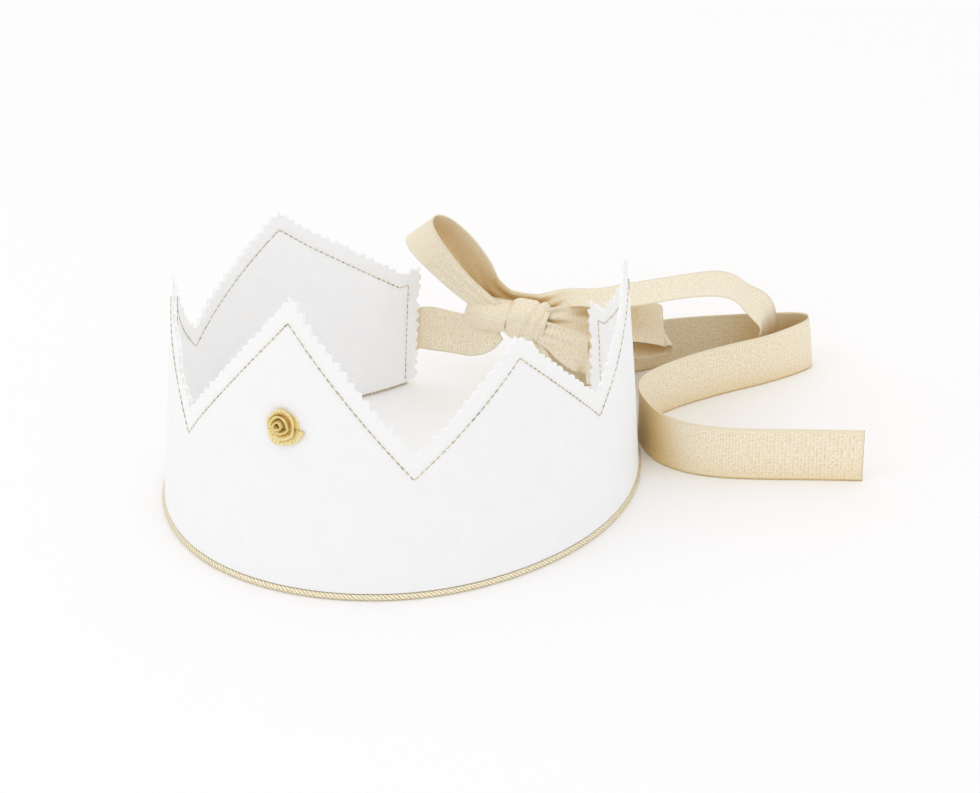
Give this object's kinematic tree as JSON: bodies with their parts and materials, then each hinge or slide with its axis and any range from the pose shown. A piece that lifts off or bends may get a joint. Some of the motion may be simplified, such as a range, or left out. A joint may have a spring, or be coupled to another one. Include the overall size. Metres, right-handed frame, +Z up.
{
  "type": "fabric crown",
  "caption": "White fabric party crown with pinked points, gold stitching and piping, a ribbon rose and gold ribbon ties in a bow.",
  "frame": {"origin": "on the floor, at the centre of the head opening's front bend", "axes": "+Z up, -Y towards the front, where the rose is, +X to the right as seen from the front"},
  "size_m": [0.233, 0.245, 0.1046],
  "materials": {
    "white_canvas": "matte",
    "interlining": "matte",
    "gold_piping": "satin",
    "gold_rose": "satin",
    "gold_ribbon": "satin"
  },
  "bodies": {
    "root": {"outer_panel": "white_canvas", "lining_panel": "white_canvas", "interlining": "interlining", "base_piping": "gold_piping", "rosette": "gold_rose", "left_ribbon_tie": "gold_ribbon", "right_ribbon_tie": "gold_ribbon"}
  },
  "joints": []
}
